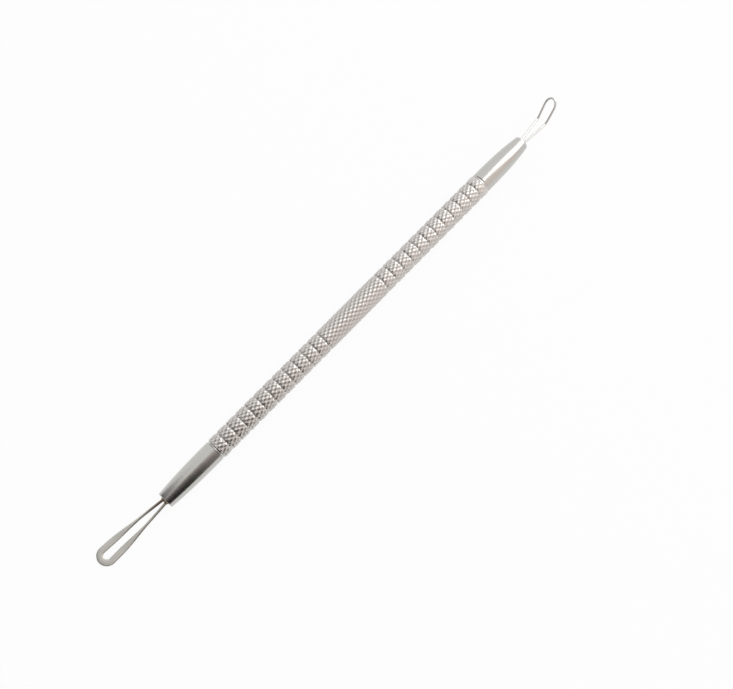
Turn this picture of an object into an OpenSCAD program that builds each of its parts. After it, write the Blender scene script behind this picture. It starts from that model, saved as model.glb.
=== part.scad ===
// Double-ended comedone extractor: a solid turned handle with a wire loop brazed into each end.
// The straight loop is rolled flat toward its tip, the angled loop stays round and is bent up.
// +X runs along the handle toward the angled loop and +Z is the side that loop is bent to.
// The origin is on the handle's axis, in the middle of the plain knurled band.
// Lengths are in millimetres and angles in degrees.

/* [Grip] */
// Diameter over the crests of the knurl
grip_d = 4.3; // [3.8:0.05:8]
// Length of the plain knurled band in the middle, groove to groove
band_len = 15.2; // [6:0.1:40]
// Number of rounded beads on each side of the band
bead_count = 12; // [1:1:20]
// Distance from one bead to the next
bead_pitch = 2.27; // [1.5:0.01:5]
// Depth of the grooves between the beads
bead_groove = 0.22; // [0.05:0.01:0.4]

/* [Smooth ends] */
// Difference between the diameters of the grip and of a smooth end at its shoulder
shoulder_drop = 0.25; // [0:0.05:0.6]
// Width of the relief turned into the last bead where a smooth end begins
relief_w = 0.5; // [0.2:0.05:1]
// Depth of that relief below the smooth end
relief_depth = 0.14; // [0.05:0.01:0.3]
// Length of the smooth end that holds the straight loop
straight_end_len = 12; // [11:0.1:30]
// Power of its taper: 1 is a cone, more keeps it full for longer
straight_taper_power = 2.6; // [1.5:0.1:4]
// Wall left round the bore at its end face
straight_mouth_wall = 0.85; // [0.4:0.01:1.1]
// Radius that rounds the edge of its end face
straight_rim_r = 0.15; // [0.05:0.01:0.4]
// Length of the smooth end that holds the angled loop
angled_end_len = 11.6; // [10:0.1:30]
// Power of its taper: 1 is a cone, more keeps it full for longer
angled_taper_power = 2.8; // [1.5:0.1:4]
// Wall left round the bore at its end face
angled_mouth_wall = 0.67; // [0.4:0.01:1.1]
// Radius that rounds the edge of its end face
angled_rim_r = 0.35; // [0.05:0.01:0.4]

/* [Brazed sockets] */
// Depth of each blind bore, down to the shoulder of the drill point
bore_depth = 8; // [5:0.1:9.5]
// Included angle of the drill point
drill_angle = 118; // [90:1:140]
// Gap between the wire and the bore where they come closest
braze_gap = 0.1; // [0.05:0.01:0.2]
// Braze left between the ends of the legs and the shoulder of the drill point
leg_end_gap = 1; // [0.5:0.1:2]
// Height of the braze that stands proud of each end face
braze_rise = 0.35; // [0.1:0.05:0.6]

/* [Straight loop] */
// Diameter of its wire
straight_wire_d = 0.5; // [0.4:0.05:0.7]
// Clear space between its two legs at the root
straight_leg_gap = 0.3; // [0.02:0.01:0.5]
// Angle that the loop leans sideways, toward +Y
straight_lean = 1.9; // [-4:0.1:4]
// Distance from the end face to the outer edge of its tip
straight_reach = 15.15; // [10:0.05:30]
// Radius of its tip on the centre line of the wire
straight_tip_r = 1.26; // [1:0.01:3]
// Angle between a leg and the loop's axis where the leg runs into the tip
straight_join = 1.5; // [0:0.5:4]
// Width of the flattened wire
blade_w = 1.2; // [0.6:0.05:1.8]
// Thickness of the flattened wire
blade_t = 0.2; // [0.12:0.01:0.5]
// Distance from the end face to where the wire begins to flatten
blade_start = 4.3; // [2:0.1:8]
// Length over which the wire passes from round to flat
blade_ramp = 7; // [1:0.1:10]

/* [Angled loop] */
// Diameter of its wire
angled_wire_d = 0.45; // [0.4:0.05:0.7]
// Clear space between its two legs at the root
angled_leg_gap = 0.3; // [0.02:0.01:0.5]
// Angle that the loop leans sideways, toward +Y
angled_lean = 1.6; // [-4:0.1:4]
// Distance from the end face to the outer edge of its tip, measured along the wire
angled_reach = 10.9; // [9:0.1:25]
// Half the width of its tip on the centre line of the wire
angled_tip_r = 1.07; // [0.8:0.01:2]
// Length of that tip over its half width: 1 is round, more is pointed like an egg
angled_tip_stretch = 1.4; // [1:0.05:1.6]
// Angle between a leg and the loop's axis where the leg runs into the tip
angled_join = 0.5; // [0:0.5:4]
// Distance from the end face to the middle of the bend
bend_at = 5.95; // [3:0.05:7]
// Angle of the bend
bend_angle = 45; // [5:1:80]
// Radius of the bend on the centre line of the wire
bend_r = 0.9; // [0.5:0.05:2]
// Angle that the bend is rolled about the handle, toward +Y
bend_roll = 10; // [-30:1:30]

/* [Hidden] */

steel = [0.74, 0.74, 0.73];
bright_steel = [0.84, 0.84, 0.82];
tinted_braze = [0.55, 0.46, 0.38];
clean_braze = [0.78, 0.77, 0.74];

// Steps in curved outlines, and sides and rings of the swept wires
bead_steps = 8;
relief_steps = 6;
taper_steps = 12;
rim_steps = 4;
dome_steps = 5;
leg_steps = 14;
tip_steps = 24;
bend_steps = 6;
wire_sides = 16;
bead_power = 4;
flat_corner = 0.5;
// Rings of a leg that come closer to a bend's rings than this are left out
ring_gap = 0.15;
round_fn = 64;

grip_r = grip_d / 2;
shoulder_r = grip_r - shoulder_drop / 2;
band_end = band_len / 2;
knurl_end = band_end + bead_count * bead_pitch;
straight_mouth = knurl_end + straight_end_len;
angled_mouth = knurl_end + angled_end_len;

straight_spacing = straight_wire_d + straight_leg_gap;
angled_spacing = angled_wire_d + angled_leg_gap;
straight_bore_r = (straight_spacing + straight_wire_d) / 2 + braze_gap;
angled_bore_r = (angled_spacing + angled_wire_d) / 2 + braze_gap;
straight_mouth_r = straight_bore_r + straight_mouth_wall;
angled_mouth_r = angled_bore_r + angled_mouth_wall;
leg_seat = bore_depth - leg_end_gap;
// The legs run parallel until they are clear of the braze
leg_clear = 0.1;
leg_out = braze_rise + leg_clear;

// Outline of a smooth end as [radius, distance in from the end face]
function end_outline(mouth_r, wall, rim_r, power, end_len) =
    let (edge = min(rim_r, 0.8 * wall))
    let (at_rim = shoulder_r - (shoulder_r - mouth_r) * pow(1 - edge / end_len, power))
    concat(
        [for (i = [0 : rim_steps])
            let (a = 90 * i / rim_steps)
            [at_rim - edge + edge * sin(a), edge - edge * cos(a)]],
        [for (i = [1 : taper_steps])
            let (d = edge + (end_len - edge) * i / taper_steps)
            [shoulder_r - (shoulder_r - mouth_r) * pow(max(0, 1 - d / end_len), power), d]]
    );

// Radius of a bead at a share q of its length
function bead_r(q) = grip_r - bead_groove * pow(abs(2 * q - 1), bead_power);

// Outline of one side's beads as [radius, distance from the middle], going outward.
// The plain band ends in half a bead, and the relief takes the outer end off the last one.
function bead_outline() =
    let (relief_start = knurl_end - relief_w)
    concat(
        [for (b = [-1 : bead_count - 1])
            for (i = [0 : bead_steps - 1])
                let (q = i / bead_steps)
                let (z = band_end + (b + q) * bead_pitch)
                if (b + q >= -0.5 && z < relief_start) [bead_r(q), z]],
        [[bead_r(1 - relief_w / bead_pitch), relief_start]],
        [for (i = [0 : relief_steps - 1])
            let (q = i / relief_steps)
            [shoulder_r - relief_depth * sin(180 * q), relief_start + q * relief_w]]
    );

function reversed(list) = [for (i = [len(list) - 1 : -1 : 0]) list[i]];

// A blind bore with its drill point, from an end face at z = 0 down to -Z
module bore(r) {
    translate([0, 0, -bore_depth])
        cylinder(h = bore_depth + 1, r = r, $fn = round_fn);
    translate([0, 0, -bore_depth - r / tan(drill_angle / 2)])
        cylinder(h = r / tan(drill_angle / 2), r1 = 0, r2 = r, $fn = round_fn);
}

module handle() color(steel) {
    straight_side = end_outline(straight_mouth_r, straight_mouth_wall, straight_rim_r,
        straight_taper_power, straight_end_len);
    angled_side = end_outline(angled_mouth_r, angled_mouth_wall, angled_rim_r,
        angled_taper_power, angled_end_len);
    outline = concat(
        [[0, -straight_mouth]],
        [for (p = straight_side) [p[0], p[1] - straight_mouth]],
        [for (p = reversed(bead_outline())) [p[0], -p[1]]],
        bead_outline(),
        [for (p = reversed(angled_side)) [p[0], angled_mouth - p[1]]],
        [[0, angled_mouth]]
    );
    rotate([0, 90, 0])
        difference() {
            rotate_extrude($fn = round_fn)
                polygon(outline);
            translate([0, 0, angled_mouth])
                bore(angled_bore_r);
            translate([0, 0, -straight_mouth])
                mirror([0, 0, 1])
                    bore(straight_bore_r);
        }
}

// Distances along the wire at which a bend has its rings
function bend_stations(at, angle, r) =
    let (arc = r * angle * PI / 180)
    [for (i = [0 : bend_steps]) at - arc / 2 + arc * i / bend_steps];

// Distances of a leg's rings, past its start and up to its end: even, and close through a bend
function leg_stations(from, to, bend) =
    let (inside = [for (q = bend) if (q > from + ring_gap && q < to - ring_gap) q])
    let (first = len(inside) > 0 ? inside[0] : to)
    let (last = len(inside) > 0 ? inside[len(inside) - 1] : to)
    let (even = [for (i = [1 : leg_steps - 1]) from + (to - from) * i / leg_steps])
    concat(
        [for (q = even) if (q < first - ring_gap) q],
        inside,
        [for (q = even) if (q > last + ring_gap) q],
        [to]
    );

// Centre line of a loop laid flat, as [along, across, direction along, direction across].
// It starts at the seated end of one leg, runs round the tip and ends in the other leg's seat.
// Each leg curves out gently from the root and meets the tip's arc without a kink.
function flat_loop(spacing, reach, edge, tip_r, join, lean, stretch = 1, bend = []) =
    let (centre = reach - edge - tip_r * stretch)
    let (join_turn = atan(stretch * tan(join)))
    let (join_q = centre - tip_r * stretch * sin(join_turn))
    let (join_h = tip_r * cos(join_turn))
    let (span = join_q - leg_out)
    let (bow = (join_h - span * tan(join) - spacing / 2) / (span * span))
    let (leg = [for (q = leg_stations(leg_out, join_q, bend))
        let (left = join_q - q)
        let (slope = atan(tan(join) + 2 * bow * left))
        [join_q - left, join_h - left * tan(join) - bow * left * left, cos(slope), sin(slope)]])
    let (half_turn = 90 + join_turn)
    let (tip = [for (i = [1 : tip_steps - 1])
        let (a = half_turn * (1 - 2 * i / tip_steps))
        [centre + tip_r * stretch * cos(a), tip_r * sin(a), stretch * sin(a), -cos(a)]])
    let (seat = [[-leg_seat, spacing / 2, 1, 0], [leg_out, spacing / 2, 1, 0]])
    let (half = concat(seat, leg))
    let (back = [for (p = reversed(half)) [p[0], -p[1], -p[2], p[3]]])
    [for (p = concat(half, tip, back))
        let (shear = p[0] > leg_out ? tan(lean) : 0)
        let (size = norm([p[2], p[3] + p[2] * shear]))
        [p[0], p[1] + (p[0] - leg_out) * shear, p[2] / size, (p[3] + p[2] * shear) / size]];

// Height and run of a strip bent up by an angle, as [run, height, angle] at a distance along it
function bent(q, at, angle, r) =
    let (arc = r * angle * PI / 180)
    let (start = at - arc / 2)
    let (a = angle <= 0 ? 0 : min(max((q - start) / arc, 0), 1) * angle)
    let (past = max(q - start - arc, 0))
    [min(q, start) + r * sin(a) + past * cos(a), r * (1 - cos(a)) + past * sin(a), a];

function signed_power(v, e) = sign(v) * pow(abs(v), e);

// One ring of wire round a point of the flat loop, its width in the loop's surface
function ring(p, w, t, corner, at, angle, r) =
    let (b = bent(p[0], at, angle, r))
    [for (k = [0 : wire_sides - 1])
        let (across = w / 2 * signed_power(cos(360 * k / wire_sides), corner))
        let (up = t / 2 * signed_power(sin(360 * k / wire_sides), corner))
        let (run = -p[3] * across)
        [b[0] + run * cos(b[2]) - up * sin(b[2]), p[1] + p[2] * across, b[1] + run * sin(b[2]) + up * cos(b[2])]];

// A solid swept through rings of equal count, closed at both ends
module sweep(rings) {
    n = len(rings);
    k = len(rings[0]);
    sides = [for (i = [0 : n - 2])
        for (j = [0 : k - 1])
            let (a = i * k + j)
            let (b = i * k + (j + 1) % k)
            for (f = [[a, a + k, b + k], [a, b + k, b]]) f];
    first = [for (j = [1 : k - 2]) [0, j, j + 1]];
    last = [for (j = [1 : k - 2]) [(n - 1) * k, (n - 1) * k + j + 1, (n - 1) * k + j]];
    polyhedron(points = [for (r = rings) for (p = r) p], faces = concat(first, last, sides));
}

// Share of the flattening reached at a distance from the end face, eased at both ends
function flattening(q) =
    let (f = min(max((q - blade_start) / blade_ramp, 0), 1))
    f * f * (3 - 2 * f);

// Places of the two roots: mouth of the bore at the origin, loop pointing along +X
module at_straight_root() {
    translate([-straight_mouth, 0, 0])
        rotate([0, 0, 180])
            children();
}

module at_angled_root() {
    translate([angled_mouth, 0, 0])
        rotate([-bend_roll, 0, 0])
            children();
}

module straight_loop() color(bright_steel) {
    path = flat_loop(straight_spacing, straight_reach, blade_w / 2, straight_tip_r, straight_join, -straight_lean);
    at_straight_root()
        sweep([for (p = path)
            let (f = flattening(p[0]))
            ring(p, straight_wire_d + (blade_w - straight_wire_d) * f, straight_wire_d + (blade_t - straight_wire_d) * f,
                1 - (1 - flat_corner) * f, 0, 0, 1)]);
}

module angled_loop() color(bright_steel) {
    path = flat_loop(angled_spacing, angled_reach, angled_wire_d / 2, angled_tip_r, angled_join, angled_lean,
        angled_tip_stretch, bend_stations(bend_at, bend_angle, bend_r));
    at_angled_root()
        sweep([for (p = path) ring(p, angled_wire_d, angled_wire_d, 1, bend_at, bend_angle, bend_r)]);
}

// The two seated legs, as the braze is cut by them
module seated_legs(spacing, d) {
    for (side = [-1, 1])
        translate([-leg_seat, side * spacing / 2, 0])
            rotate([0, 90, 0])
                cylinder(h = leg_seat + leg_out, d = d, $fn = wire_sides);
}

// Braze that fills a bore and stands proud of the end face in a low dome, facing +X
module braze_plug(r) {
    dome = [for (i = [0 : dome_steps])
        let (a = 90 * i / dome_steps)
        [r * cos(a), braze_rise * sin(a)]];
    rotate([0, 90, 0])
        rotate_extrude($fn = round_fn)
            polygon(concat([[0, -bore_depth - r / tan(drill_angle / 2)], [r, -bore_depth]], dome));
}

module straight_braze() color(tinted_braze) {
    difference() {
        translate([-straight_mouth, 0, 0])
            rotate([0, 0, 180])
                braze_plug(straight_bore_r);
        at_straight_root()
            seated_legs(straight_spacing, straight_wire_d);
    }
}

module angled_braze() color(clean_braze) {
    difference() {
        translate([angled_mouth, 0, 0])
            braze_plug(angled_bore_r);
        at_angled_root()
            seated_legs(angled_spacing, angled_wire_d);
    }
}

handle();
straight_loop();
angled_loop();
straight_braze();
angled_braze();
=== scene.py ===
import math
import bmesh
import bpy
from mathutils import Matrix, Vector, noise


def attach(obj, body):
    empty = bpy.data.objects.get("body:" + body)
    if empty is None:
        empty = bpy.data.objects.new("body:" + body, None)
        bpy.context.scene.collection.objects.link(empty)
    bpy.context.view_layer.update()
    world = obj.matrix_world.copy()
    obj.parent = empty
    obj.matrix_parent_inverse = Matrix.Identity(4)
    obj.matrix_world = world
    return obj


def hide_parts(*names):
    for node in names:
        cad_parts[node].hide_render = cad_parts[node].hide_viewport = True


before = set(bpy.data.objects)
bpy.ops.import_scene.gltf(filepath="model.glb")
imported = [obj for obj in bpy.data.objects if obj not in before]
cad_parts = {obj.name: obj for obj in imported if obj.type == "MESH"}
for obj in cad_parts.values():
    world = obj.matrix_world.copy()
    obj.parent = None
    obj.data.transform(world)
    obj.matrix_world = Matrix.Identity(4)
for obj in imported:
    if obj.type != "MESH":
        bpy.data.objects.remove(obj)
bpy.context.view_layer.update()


# Handle: one bar of stainless steel, 93.3 mm long. It is turned in a lathe to a plain band, two
# rows of beads and two tapered ends, its grip is knurled with two crossing wheels, and each end is
# drilled for a wire loop. Lengths here are in millimetres, and +X runs toward the angled loop.
MM = 0.001

grip_r = 2.15
band_len = 15.2
bead_count = 12
bead_pitch = 2.27
bead_groove = 0.22
# The beads are a little squarer than the plain solid's, and the angled end's relief is shallower.
bead_power = 6
bead_steps = 32
groove_rings = 4
band_steps = 46

shoulder_r = 2.025
relief_w = 0.5
relief_steps = 8
taper_steps = 24
rim_steps = 6

bore_depth = 8.0
bore_break = 0.03
drill_angle = math.radians(118)

knurl_starts = 16
knurl_pitch = 1.305
knurl_depth = 0.18
groove_clear = 0.85
groove_fade = 0.6
last_bead_fade = 0.8
handle_sides = 128

band_end = band_len / 2
knurl_end = band_end + bead_count * bead_pitch
straight_end = dict(length=12, power=2.6, bore_r=0.75, mouth_r=1.6, rim_r=0.15, relief_depth=0.14)
angled_end = dict(length=11.6, power=2.8, bore_r=0.7, mouth_r=1.37, rim_r=0.35, relief_depth=0.08)
straight_mouth = knurl_end + straight_end["length"]
angled_mouth = knurl_end + angled_end["length"]


def skin(name, rings, start, end):
    """A closed mesh through rings of equal count, from the point start to the point end, in mm."""
    sides = len(rings[0])
    points = [start, *[p for ring in rings for p in ring], end]
    last = len(points) - 1
    faces = []
    for k in range(sides):
        after = (k + 1) % sides
        faces.append((0, 1 + after, 1 + k))
        for i in range(len(rings) - 1):
            a, b = 1 + i * sides, 1 + (i + 1) * sides
            faces.append((a + k, a + after, b + after, b + k))
        top = 1 + (len(rings) - 1) * sides
        faces.append((last, top + k, top + after))
    mesh = bpy.data.meshes.new(name)
    mesh.from_pydata([tuple(c * MM for c in p) for p in points], [], faces)
    mesh.validate()
    piece = bpy.data.objects.new(name, mesh)
    bpy.context.scene.collection.objects.link(piece)
    return piece


def crisp_over(piece, degrees):
    """Outward faces, smooth except along edges that turn by more than this."""
    shape = bmesh.new()
    shape.from_mesh(piece.data)
    bmesh.ops.recalc_face_normals(shape, faces=shape.faces)
    for face in shape.faces:
        face.smooth = True
    for edge in shape.edges:
        edge.smooth = edge.calc_face_angle(0) < math.radians(degrees)
    shape.to_mesh(piece.data)
    shape.free()


def end_outline(end):
    """One smooth end as (distance in from the end face, radius), from the rim to the shoulder."""
    def taper(d):
        left = max(0, 1 - d / end["length"])
        return shoulder_r - (shoulder_r - end["mouth_r"]) * left ** end["power"]
    edge = end["rim_r"]
    rim = []
    for i in range(rim_steps + 1):
        a = math.pi / 2 * i / rim_steps
        rim.append((edge - edge * math.cos(a), taper(edge) - edge + edge * math.sin(a)))
    span = end["length"] - edge
    body = [edge + span * i / taper_steps for i in range(1, taper_steps + 1)]
    return rim + [(d, taper(d)) for d in body]


def turned_r(z):
    """Radius of the beads and the band as the lathe leaves them, at z from the middle."""
    if z < band_end - bead_pitch / 2:
        return grip_r
    q = (z - band_end) / bead_pitch % 1
    return grip_r - bead_groove * abs(2 * q - 1) ** bead_power


def knurl_cut(x, turn):
    """Share of the knurl's depth at x along the bar and an angle round it. Two hands of helical
    valleys, with half of the depth each, cross and leave rows of diamonds, which tumbling has
    rounded. They grow shallow in the grooves, which are turned last, and on the bead next to the
    angled loop's end."""
    cut = 0
    for hand in (1, -1):
        cut += 0.25 + 0.25 * math.cos(2 * math.pi * x / knurl_pitch + hand * knurl_starts * turn)
    if abs(x) > band_end - bead_pitch / 2:
        q = (abs(x) - band_end) / bead_pitch % 1
        near = min(max((abs(2 * q - 1) - groove_clear) / (1 - groove_clear), 0), 1)
        cut *= 1 - groove_fade * near
    last_bead = min(max((x - knurl_end + bead_pitch) / bead_pitch, 0), 1)
    cut *= 1 - last_bead_fade * last_bead
    return cut


def grip_stations():
    """Places of the grip's rings, from its middle out to a relief. They are closer in the grooves."""
    plain = band_end - bead_pitch / 2
    relief_start = knurl_end - relief_w
    closest = 0.01
    stations = [plain * i / band_steps for i in range(band_steps)]
    crown = range(groove_rings, bead_steps - groove_rings)
    shares = [i / bead_steps for i in range(bead_steps) if i % 2 == 0 or i not in crown]
    for bead in range(-1, bead_count):
        places = [band_end + (bead + q) * bead_pitch for q in shares]
        stations += [z for z in places if plain <= z < relief_start - closest]
    return stations


def handle_side(end, mouth):
    """One side from the knurl out and into its bore, as (distance from the middle, radius)."""
    relief_start = knurl_end - relief_w
    side = [(relief_start, turned_r(relief_start))]
    for i in range(1, relief_steps):
        q = i / relief_steps
        dip = end["relief_depth"] * math.sin(math.pi * q)
        side.append((relief_start + relief_w * q, shoulder_r - dip))
    side += [(mouth - d, r) for d, r in reversed(end_outline(end))]
    bore_r = end["bore_r"]
    side += [(mouth, bore_r + bore_break), (mouth - bore_break, bore_r), (mouth - bore_depth, bore_r)]
    return side


def ring(x, turns, radii):
    """One ring round the bar at x, with a radius for each turn."""
    return [(x, r * math.sin(a), r * math.cos(a)) for a, r in zip(turns, radii)]


turns = [2 * math.pi * k / handle_sides for k in range(handle_sides)]
straight_side = handle_side(straight_end, straight_mouth)
angled_side = handle_side(angled_end, angled_mouth)
stations = grip_stations()

rings = [ring(-z, turns, [r] * handle_sides) for z, r in reversed(straight_side)]
recess = [0.0] * (1 + len(straight_side) * handle_sides)
for x in [-z for z in reversed(stations)] + stations[1:]:
    cuts = [knurl_cut(x, a) for a in turns]
    rings.append(ring(x, turns, [turned_r(abs(x)) - knurl_depth * cut for cut in cuts]))
    recess += cuts
rings += [ring(z, turns, [r] * handle_sides) for z, r in angled_side]
recess += [0.0] * (1 + len(angled_side) * handle_sides)

straight_drill = -straight_mouth + bore_depth + straight_end["bore_r"] / math.tan(drill_angle / 2)
angled_drill = angled_mouth - bore_depth - angled_end["bore_r"] / math.tan(drill_angle / 2)
handle = skin("handle_bar", rings, (straight_drill, 0, 0), (angled_drill, 0, 0))
crisp_over(handle, 20)
# The depth of cut at each point, which the knurled steel's colour uses to paint shade into the valleys.
valleys = handle.data.attributes.new("recess", "FLOAT", "POINT")
valleys.data.foreach_set("value", recess)


def linear(colour):
    """An sRGB hex colour as the linear colour that a socket takes."""
    parts = [int(colour[i:i + 2], 16) / 255 for i in (1, 3, 5)]
    return tuple(c / 12.92 if c <= 0.04045 else ((c + 0.055) / 1.055) ** 2.4 for c in parts) + (1,)


def add(tree, kind, sockets=None, **settings):
    """Adds a node. sockets gives values or other nodes' outputs by the socket's name or number.
    A mix of colours takes its share at 0 and its colours at 6 and 7. A map range takes its value at
    0, the range it comes from at 1 and 2, and the range it goes to at 3 and 4."""
    made = tree.nodes.new(kind)
    for name, value in settings.items():
        setattr(made, name, value)
    for name, value in (sockets or {}).items():
        if isinstance(value, bpy.types.NodeSocket):
            tree.links.new(value, made.inputs[name])
        else:
            made.inputs[name].default_value = value
    return made


def metal(name, roughness):
    """A bare metal to build on: its tree, its shader and the place on the piece."""
    made = bpy.data.materials.new(name)
    made.use_nodes = True
    tree = made.node_tree
    shader = tree.nodes["Principled BSDF"]
    shader.inputs["Metallic"].default_value = 1
    shader.inputs["Roughness"].default_value = roughness
    place = add(tree, "ShaderNodeTexCoord").outputs["Object"]
    return made, tree, shader, place


# Stainless steel, turned and polished on the lathe: bright, with soft-edged reflections that
# fine rings round the bar draw out across it. The feed is about 0.05 mm, too fine to show, so
# the rings are drawn 0.25 mm apart.
turned_steel, tree, shader, place = metal("stainless_turned_polished", 0.2)
squeeze = add(tree, "ShaderNodeMapping", {"Vector": place, "Scale": (1, 0.04, 0.04)})
feed = add(tree, "ShaderNodeTexNoise", {"Vector": squeeze.outputs[0], "Scale": 4000, "Detail": 2})
shade = add(tree, "ShaderNodeMix", {0: feed.outputs["Fac"], 6: linear("#BDBCB8"), 7: linear("#C6C5C1")},
            data_type="RGBA")
tree.links.new(shade.outputs[2], shader.inputs["Base Color"])
blur = add(tree, "ShaderNodeMapRange", {0: feed.outputs["Fac"], 3: 0.16, 4: 0.26})
tree.links.new(blur.outputs[0], shader.inputs["Roughness"])
ridge = add(tree, "ShaderNodeBump",
            {"Height": feed.outputs["Fac"], "Strength": 0.2, "Distance": 0.01 * MM})
tree.links.new(ridge.outputs[0], shader.inputs["Normal"])

# Stainless steel, knurled and tumbled: satin all over, rubbed bright on the flat tops of the
# diamonds, and duller, darker and a little brown in the valleys: painted shade of the deep valleys,
# together with some polish and dirt that stay there.
knurled_steel, tree, shader, place = metal("stainless_knurled", 0.35)
valley = add(tree, "ShaderNodeAttribute", attribute_name="recess").outputs["Fac"]
rub = add(tree, "ShaderNodeTexNoise", {"Vector": place, "Scale": 900, "Detail": 3})
crest = add(tree, "ShaderNodeMix", {0: rub.outputs["Fac"], 6: linear("#D9D6D3"), 7: linear("#E1DEDB")},
            data_type="RGBA")
# The darker, browner valley colour is painted shade of the knurl's deep valleys, with some polish and
# dirt that stay there.
valley_shade_and_dirt = add(tree, "ShaderNodeMix", {0: rub.outputs["Fac"], 6: linear("#A5A19D"), 7: linear("#B5B1AD")},
          data_type="RGBA")
shade = add(tree, "ShaderNodeMix", {0: valley, 6: crest.outputs[2], 7: valley_shade_and_dirt.outputs[2]},
            data_type="RGBA")
tree.links.new(shade.outputs[2], shader.inputs["Base Color"])
blur = add(tree, "ShaderNodeMapRange", {0: valley, 3: 0.3, 4: 0.4})
tree.links.new(blur.outputs[0], shader.inputs["Roughness"])

handle.data.materials.append(turned_steel)
handle.data.materials.append(knurled_steel)
for face in handle.data.polygons:
    if abs(face.center.x) < (knurl_end - relief_w) * MM:
        face.material_index = 1
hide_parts("handle")
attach(handle, "root")


# Straight loop: one piece of stainless wire, 0.5 mm thick, bent to a teardrop and rolled flat
# from a third of its reach to its tip, so that it presses on the skin with a broad, blunt band.
# Both of its legs are seated in the handle's bore.
wire_sides = 24
leg_steps = 90
tip_steps = 64
leg_seat = 7.0
leg_out = 0.45

straight_wire = 0.5
straight_spacing = 0.8
straight_lean = math.radians(-1.9)
straight_reach = 15.15
straight_tip_r = 1.26
straight_join = math.radians(1.5)
blade_w = 1.2
blade_t = 0.2
blade_start = 4.3
blade_ramp = 7.0
blade_corner = 0.5


def flat_loop(spacing, reach, tip_r, join, lean, stretch=1.0):
    """Centre line of a loop laid flat, from one leg's seat round the tip to the other's.
    Each point is (along, across, direction along, direction across). Reach is to the centre line.
    A stretched tip is pointed like an egg's."""
    centre = reach - tip_r * stretch
    join_turn = math.atan(stretch * math.tan(join))
    join_q = centre - tip_r * stretch * math.sin(join_turn)
    join_h = tip_r * math.cos(join_turn)
    span = join_q - leg_out
    bow = (join_h - span * math.tan(join) - spacing / 2) / span ** 2
    half = [(-leg_seat, spacing / 2, 1, 0), (leg_out, spacing / 2, 1, 0)]
    for i in range(1, leg_steps + 1):
        left = span * (1 - i / leg_steps)
        slope = math.atan(math.tan(join) + 2 * bow * left)
        height = join_h - left * math.tan(join) - bow * left ** 2
        half.append((join_q - left, height, math.cos(slope), math.sin(slope)))
    tip = []
    for i in range(1, tip_steps):
        a = (math.pi / 2 + join_turn) * (1 - 2 * i / tip_steps)
        tip.append((centre + tip_r * stretch * math.cos(a), tip_r * math.sin(a), stretch * math.sin(a),
                    -math.cos(a)))
    back = [(q, -h, -dq, dh) for q, h, dq, dh in reversed(half)]
    leant = []
    for q, h, dq, dh in half + tip + back:
        shear = math.tan(lean) if q > leg_out else 0
        size = math.hypot(dq, dh + dq * shear)
        leant.append((q, h + (q - leg_out) * shear, dq / size, (dh + dq * shear) / size))
    return leant


def signed_power(value, power):
    """A power of the value's size, with the value's sign. Below 1 it squares a circle's corners."""
    return math.copysign(abs(value) ** power, value)


def wire_ring(point, bend, width, thickness, corner):
    """One ring of wire round a point of the flat loop, whose place is then bent up."""
    q, h, dq, dh = point
    run0, rise, a = bend(q)
    ring = []
    for k in range(wire_sides):
        turn = 2 * math.pi * k / wire_sides
        across = width / 2 * signed_power(math.cos(turn), corner)
        up = thickness / 2 * signed_power(math.sin(turn), corner)
        run = -dh * across
        ring.append((run0 + run * math.cos(a) - up * math.sin(a), h + dq * across,
                     rise + run * math.sin(a) + up * math.cos(a)))
    return ring


def wire_loop(name, rings, place):
    """A wire through rings, closed at its two seated ends and put in its place."""
    placed = [[place @ Vector(p) for p in ring] for ring in rings]
    ends = [sum(ring, Vector()) / len(ring) for ring in (placed[0], placed[-1])]
    return skin(name, placed, *ends)


def flattening(q):
    """Share of the rolling reached at a distance from the end face."""
    f = min(max((q - blade_start) / blade_ramp, 0), 1)
    return f * f * (3 - 2 * f)


rings = []
centre_reach = straight_reach - blade_w / 2
for point in flat_loop(straight_spacing, centre_reach, straight_tip_r, straight_join, straight_lean):
    f = flattening(point[0])
    width = straight_wire + (blade_w - straight_wire) * f
    thickness = straight_wire + (blade_t - straight_wire) * f
    rings.append(wire_ring(point, lambda q: (q, 0, 0), width, thickness, 1 - (1 - blade_corner) * f))
straight_root = Matrix.Translation((-straight_mouth, 0, 0)) @ Matrix.Rotation(math.pi, 4, "Z")
straight_loop = wire_loop("straight_wire_loop", rings, straight_root)
crisp_over(straight_loop, 50)

# Stainless wire, rolled between hard rollers and lightly polished: a soft satin with fine lines
# along the wire. The torch has turned its root brown over the first few millimetres, more on the
# leg that it was held to.
rolled_wire, tree, shader, place = metal("stainless_wire_rolled", 0.3)
squeeze = add(tree, "ShaderNodeMapping", {"Vector": place, "Scale": (0.08, 1, 1)})
lines = add(tree, "ShaderNodeTexNoise", {"Vector": squeeze.outputs[0], "Scale": 6000, "Detail": 2})
bare = add(tree, "ShaderNodeMix", {0: lines.outputs["Fac"], 6: linear("#D2D0C9"), 7: linear("#DEDCD5")},
           data_type="RGBA")
brown_len = 7.0
along, across = add(tree, "ShaderNodeSeparateXYZ", {0: place}).outputs[:2]
cooling = add(tree, "ShaderNodeMapRange",
              {0: along, 1: -(straight_mouth + brown_len) * MM, 2: -straight_mouth * MM},
              interpolation_type="SMOOTHSTEP")
torch_side = add(tree, "ShaderNodeMapRange", {0: across, 1: -0.3 * MM, 2: 0.5 * MM, 3: 0.45, 4: 1.0})
tint = add(tree, "ShaderNodeMath", {0: cooling.outputs[0], 1: torch_side.outputs[0]},
           operation="MULTIPLY")
shade = add(tree, "ShaderNodeMix", {0: tint.outputs[0], 6: bare.outputs[2], 7: linear("#75645A")},
            data_type="RGBA")
tree.links.new(shade.outputs[2], shader.inputs["Base Color"])

straight_loop.data.materials.append(rolled_wire)
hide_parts("straight_loop")
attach(straight_loop, "root")


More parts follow.
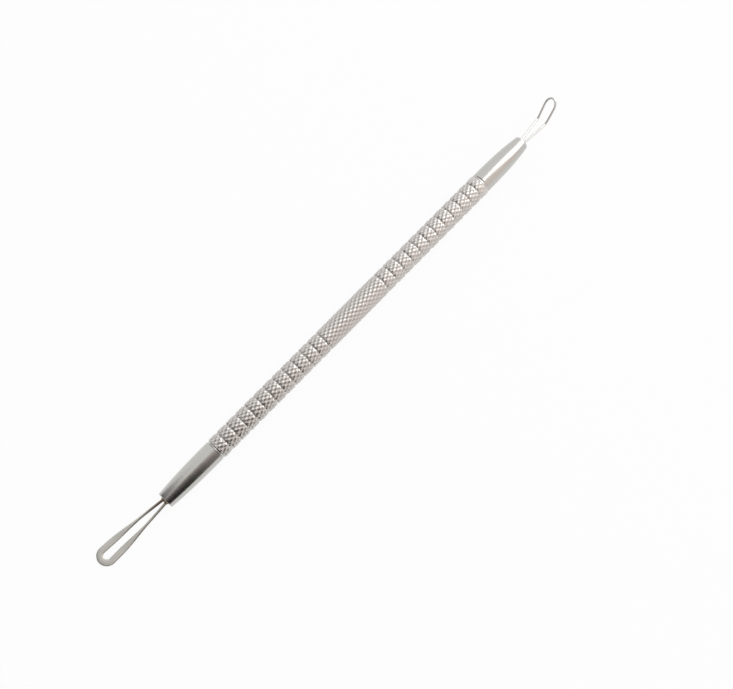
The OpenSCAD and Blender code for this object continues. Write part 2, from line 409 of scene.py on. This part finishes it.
# Angled loop: one piece of round stainless wire, 0.45 mm thick, bent to a narrower loop. Its
# front half is bent up by 45 degrees, to reach beside the nose, and rolled a little to one side.
angled_wire = 0.45
angled_spacing = 0.75
angled_lean = math.radians(1.6)
angled_reach = 10.9
angled_tip_r = 1.07
angled_tip_stretch = 1.4
angled_join = math.radians(0.5)
bend_at = 5.95
bend_angle = math.radians(45)
bend_r = 0.9
bend_roll = math.radians(10)


def bent_up(q):
    """(run, height, angle) of the bent strip at a distance along it."""
    arc = bend_r * bend_angle
    start = bend_at - arc / 2
    a = min(max((q - start) / arc, 0), 1) * bend_angle
    past = max(q - start - arc, 0)
    run = min(q, start) + bend_r * math.sin(a) + past * math.cos(a)
    return run, bend_r * (1 - math.cos(a)) + past * math.sin(a), a


rings = []
centre_reach = angled_reach - angled_wire / 2
for point in flat_loop(angled_spacing, centre_reach, angled_tip_r, angled_join, angled_lean,
                       angled_tip_stretch):
    rings.append(wire_ring(point, bent_up, angled_wire, angled_wire, 1))
angled_root = Matrix.Translation((angled_mouth, 0, 0)) @ Matrix.Rotation(-bend_roll, 4, "X")
angled_loop = wire_loop("angled_wire_loop", rings, angled_root)
crisp_over(angled_loop, 50)

# Stainless wire, drawn and polished: brighter and smoother than the rolled loop, and clean of any
# tint at its root.
round_wire, tree, shader, place = metal("stainless_wire_drawn", 0.22)
drawn = add(tree, "ShaderNodeTexNoise", {"Vector": place, "Scale": 3000, "Detail": 2})
shade = add(tree, "ShaderNodeMix", {0: drawn.outputs["Fac"], 6: linear("#D2D1CE"), 7: linear("#DEDDDA")},
            data_type="RGBA")
tree.links.new(shade.outputs[2], shader.inputs["Base Color"])

angled_loop.data.materials.append(round_wire)
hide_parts("angled_loop")
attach(angled_loop, "root")


# Braze: silver solder that was melted into each bore round the two legs. It fills the bore,
# stands proud of the end face in a low dome and climbs a little up the legs.
braze_rise = 0.35
dome_share = 0.8
braze_sides = 64
dome_steps = 14
dome_foot = 0.02
wall_gap = 0.005
face_gap = 0.002
collar = 0.12
climb = 0.2
climb_reach = 0.1
ripple_height = 0.03
ripple_pace = 2.5


def braze_plug(name, end, spacing, wire, roll, place):
    """Braze for one bore, facing +X from the end face at the origin, then put in its place."""
    bore_r = end["bore_r"] - wall_gap
    turns = [2 * math.pi * k / braze_sides for k in range(braze_sides)]
    rings = [ring(x, turns, [bore_r] * braze_sides) for x in (-bore_depth, -dome_foot)]
    legs = [(leg * math.cos(roll), leg * math.sin(-roll)) for leg in (-spacing / 2, spacing / 2)]
    for i in range(dome_steps):
        share = math.cos(math.pi / 2 * i / dome_steps)
        dome = []
        for a in turns:
            r = (bore_r + collar) * share
            y, z = r * math.sin(a), r * math.cos(a)
            gap = max(min(math.hypot(y - ly, z - lz) for ly, lz in legs) - wire / 2, 0)
            x = braze_rise * dome_share * math.sqrt(1 - share ** 2)
            x += ripple_height * noise.noise(Vector((y, z, spacing)) * ripple_pace) * (1 - share ** 4)
            x += climb * math.exp(-gap / climb_reach) * (1 - share ** 8)
            dome.append((max(x, face_gap), y, z))
        rings.append(dome)
    tip = (-bore_depth - bore_r / math.tan(drill_angle / 2), 0, 0)
    top = (rings[-1][0][0], 0, 0)
    placed = [[place @ Vector(p) for p in ring] for ring in rings]
    return skin(name, placed, place @ Vector(tip), place @ Vector(top))


straight_braze = braze_plug("straight_braze_fill", straight_end, straight_spacing, straight_wire, 0,
                            straight_root)
angled_braze = braze_plug("angled_braze_fill", angled_end, angled_spacing, angled_wire, bend_roll,
                          Matrix.Translation((angled_mouth, 0, 0)))

# Silver braze, run and left as it cooled: dull, rippled and browned by the flame.
cooled_braze, tree, shader, place = metal("silver_braze_heat_tinted", 0.45)
scale = add(tree, "ShaderNodeTexNoise", {"Vector": place, "Scale": 2500, "Detail": 4})
shade = add(tree, "ShaderNodeMix", {0: scale.outputs["Fac"], 6: linear("#6B5646"), 7: linear("#9C8770")},
            data_type="RGBA")
tree.links.new(shade.outputs[2], shader.inputs["Base Color"])
blur = add(tree, "ShaderNodeMapRange", {0: scale.outputs["Fac"], 3: 0.35, 4: 0.6})
tree.links.new(blur.outputs[0], shader.inputs["Roughness"])

# At the angled end it was wiped and pickled clean: bright, softly rippled silver.
clean_braze, tree, shader, place = metal("silver_braze_pickled", 0.3)
flow = add(tree, "ShaderNodeTexNoise", {"Vector": place, "Scale": 2000, "Detail": 3})
shade = add(tree, "ShaderNodeMix", {0: flow.outputs["Fac"], 6: linear("#BDBBB6"), 7: linear("#D6D5D1")},
            data_type="RGBA")
tree.links.new(shade.outputs[2], shader.inputs["Base Color"])
blur = add(tree, "ShaderNodeMapRange", {0: flow.outputs["Fac"], 3: 0.24, 4: 0.4})
tree.links.new(blur.outputs[0], shader.inputs["Roughness"])

for piece, node, slot, finish in ((straight_braze, "straight_braze", "tinted_braze", cooled_braze),
                                  (angled_braze, "angled_braze", "clean_braze", clean_braze)):
    crisp_over(piece, 60)
    piece.data.materials.append(finish)
    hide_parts(node)
    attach(piece, "root")


# Table: a white acrylic sheet that the tool lies on, resting on the crests of its knurl. It is
# lit so brightly that only a trace of the tool's shadow is left.
floor_z = -grip_r * MM
glow_share = 0.93
floor_mesh = bpy.data.meshes.new("table_top")
table = bmesh.new()
bmesh.ops.create_grid(table, x_segments=2, y_segments=2, size=2)
table.to_mesh(floor_mesh)
table.free()
floor = bpy.data.objects.new("table_top", floor_mesh)
floor.location.z = floor_z
bpy.context.scene.collection.objects.link(floor)


def in_sight(tree):
    """1 where the camera sees a surface, also in a mirror or through glass, and 0 for other light."""
    sight = add(tree, "ShaderNodeLightPath").outputs
    seen = add(tree, "ShaderNodeMath", {0: sight["Is Camera Ray"], 1: sight["Is Glossy Ray"]},
               operation="MAXIMUM")
    seen = add(tree, "ShaderNodeMath", {0: seen.outputs[0], 1: sight["Is Transmission Ray"]},
               operation="MAXIMUM")
    return seen.outputs[0]


white = linear("#FEFEFE")
table_white = bpy.data.materials.new("white_acrylic_sheet")
table_white.use_nodes = True
tree = table_white.node_tree
tree.nodes.clear()
share = add(tree, "ShaderNodeMath", {0: in_sight(tree), 1: glow_share}, operation="MULTIPLY")
lit = add(tree, "ShaderNodeBsdfDiffuse", {"Color": white})
glow = add(tree, "ShaderNodeEmission", {"Color": white, "Strength": 1})
both = add(tree, "ShaderNodeMixShader", {0: share.outputs[0], 1: lit.outputs[0], 2: glow.outputs[0]})
add(tree, "ShaderNodeOutputMaterial", {"Surface": both.outputs[0]})
floor_mesh.materials.append(table_white)

# Studio: white walls all round, a soft box over the angled loop's end and another beyond it, and
# three cards, dark in part, on the straight loop's side. The polished end beside them mirrors
# them, and the knurl's facets that face them look darker than the others.
wall_light = 0.68
lamp_aim = Vector((0.03, 0, 0))
world = bpy.data.worlds.new("white_studio")
bpy.context.scene.world = world
world.use_nodes = True
tree = world.node_tree
tree.nodes.clear()
level = add(tree, "ShaderNodeMapRange", {0: in_sight(tree), 3: wall_light, 4: 1.0})
walls = add(tree, "ShaderNodeBackground", {"Color": white, "Strength": level.outputs[0]})
add(tree, "ShaderNodeOutputWorld", {"Surface": walls.outputs[0]})


def soft_box(name, place, width, height, watts):
    """A soft box of this width and height, in metres, that faces the tool."""
    lamp = bpy.data.lights.new(name, "AREA")
    lamp.shape = "RECTANGLE"
    lamp.size = width
    lamp.size_y = height
    lamp.energy = watts
    stand = bpy.data.objects.new(name, lamp)
    stand.location = place
    stand.rotation_euler = (lamp_aim - stand.location).to_track_quat("-Z", "Y").to_euler()
    bpy.context.scene.collection.objects.link(stand)


soft_box("soft_box_above", (0.46, -0.17, 0.6), 0.6, 0.48, 1.45)
soft_box("soft_box_beyond", (0.5, 0.04, 0.22), 0.4, 0.35, 0.75)


def card(name, corners, colour, strength):
    """A card that only polished metal sees. strength gives its tone from its own place."""
    mesh = bpy.data.meshes.new(name)
    mesh.from_pydata(corners, [], [(0, 1, 2, 3)])
    sheet = bpy.data.objects.new(name, mesh)
    bpy.context.scene.collection.objects.link(sheet)
    sheet.visible_camera = False
    sheet.visible_diffuse = False
    sheet.visible_shadow = False
    board = bpy.data.materials.new(name)
    board.use_nodes = True
    tree = board.node_tree
    tree.nodes.clear()
    place = add(tree, "ShaderNodeSeparateXYZ", {0: add(tree, "ShaderNodeTexCoord").outputs["Object"]})
    tone = add(tree, "ShaderNodeEmission", {"Color": linear(colour), "Strength": strength(tree, place)})
    add(tree, "ShaderNodeOutputMaterial", {"Surface": tone.outputs[0]})
    mesh.materials.append(board)


def graded_tone(tree, place):
    """Dark by the table, lighter upward and toward the angled loop's end."""
    up = add(tree, "ShaderNodeMapRange", {0: place.outputs[2], 1: 0.05, 2: 0.45, 3: 0.03, 4: 0.9})
    side = add(tree, "ShaderNodeMapRange", {0: place.outputs[0], 1: -0.042, 2: -0.005, 3: 0.0, 4: 1.0})
    both = add(tree, "ShaderNodeMath", {0: up.outputs[0], 1: side.outputs[0]}, operation="ADD",
               use_clamp=True)
    return both.outputs[0]


def low_tone(tree, place):
    """Dark by the table and half light at its upper edge."""
    up = add(tree, "ShaderNodeMapRange", {0: place.outputs[2], 1: 0.0, 2: 0.2, 3: 0.1, 4: 0.6})
    return up.outputs[0]


def ring_tone(tree, place):
    """White round the tool's axis and dark farther out, by the square of the distance."""
    out = add(tree, "ShaderNodeMath", {0: place.outputs[1], 1: 2}, operation="POWER")
    up = add(tree, "ShaderNodeMath", {0: place.outputs[2], 1: 2}, operation="POWER")
    both = add(tree, "ShaderNodeMath", {0: out.outputs[0], 1: up.outputs[0]}, operation="ADD")
    fall = add(tree, "ShaderNodeMapRange", {0: both.outputs[0], 1: 0.02, 2: 0.06, 3: 1.0, 4: 0.15})
    return fall.outputs[0]


card_foot = -0.002
card("graded_card",
     [(-0.5, -0.07, card_foot), (0.09, -0.07, card_foot), (0.09, 0.03, 0.45), (-0.5, 0.03, 0.45)],
     "#FBF0EB", graded_tone)
card("low_card",
     [(-0.17, -0.1, card_foot), (-0.17, 0.06, card_foot), (-0.17, 0.06, 0.2), (-0.17, -0.1, 0.2)],
     "#FFFFFF", low_tone)
card("ring_card",
     [(-0.2, -1.2, card_foot), (-0.2, 1.2, card_foot), (-0.2, 1.2, 1.2), (-0.2, -1.2, 1.2)],
     "#FFFFFF", ring_tone)


# Camera: held 205 mm away and 74 degrees above the table, with the handle running from the lower
# left of the picture to its upper right.
distance = 0.205
elevation = math.radians(74)
turn = math.radians(46.601)
aim_right = 0.002559
aim_down = 0.006004
toward_top = Vector((math.sin(turn), math.cos(turn), 0))
toward_right = Vector((math.cos(turn), -math.sin(turn), 0))
aim = toward_right * aim_right - toward_top * aim_down
sight_line = toward_top * math.cos(elevation) - Vector((0, 0, math.sin(elevation)))
picture_up = toward_top * math.sin(elevation) + Vector((0, 0, math.cos(elevation)))
lens = bpy.data.cameras.new("camera")
lens.sensor_width = 36
lens.lens = 56.115
lens.clip_start = 0.01
lens.clip_end = 10
camera = bpy.data.objects.new("camera", lens)
turned = Matrix((toward_right, picture_up, -sight_line)).transposed().to_4x4()
camera.matrix_world = Matrix.Translation(aim - sight_line * distance) @ turned
bpy.context.scene.collection.objects.link(camera)
bpy.context.scene.camera = camera
bpy.context.scene.view_settings.view_transform = "Standard"
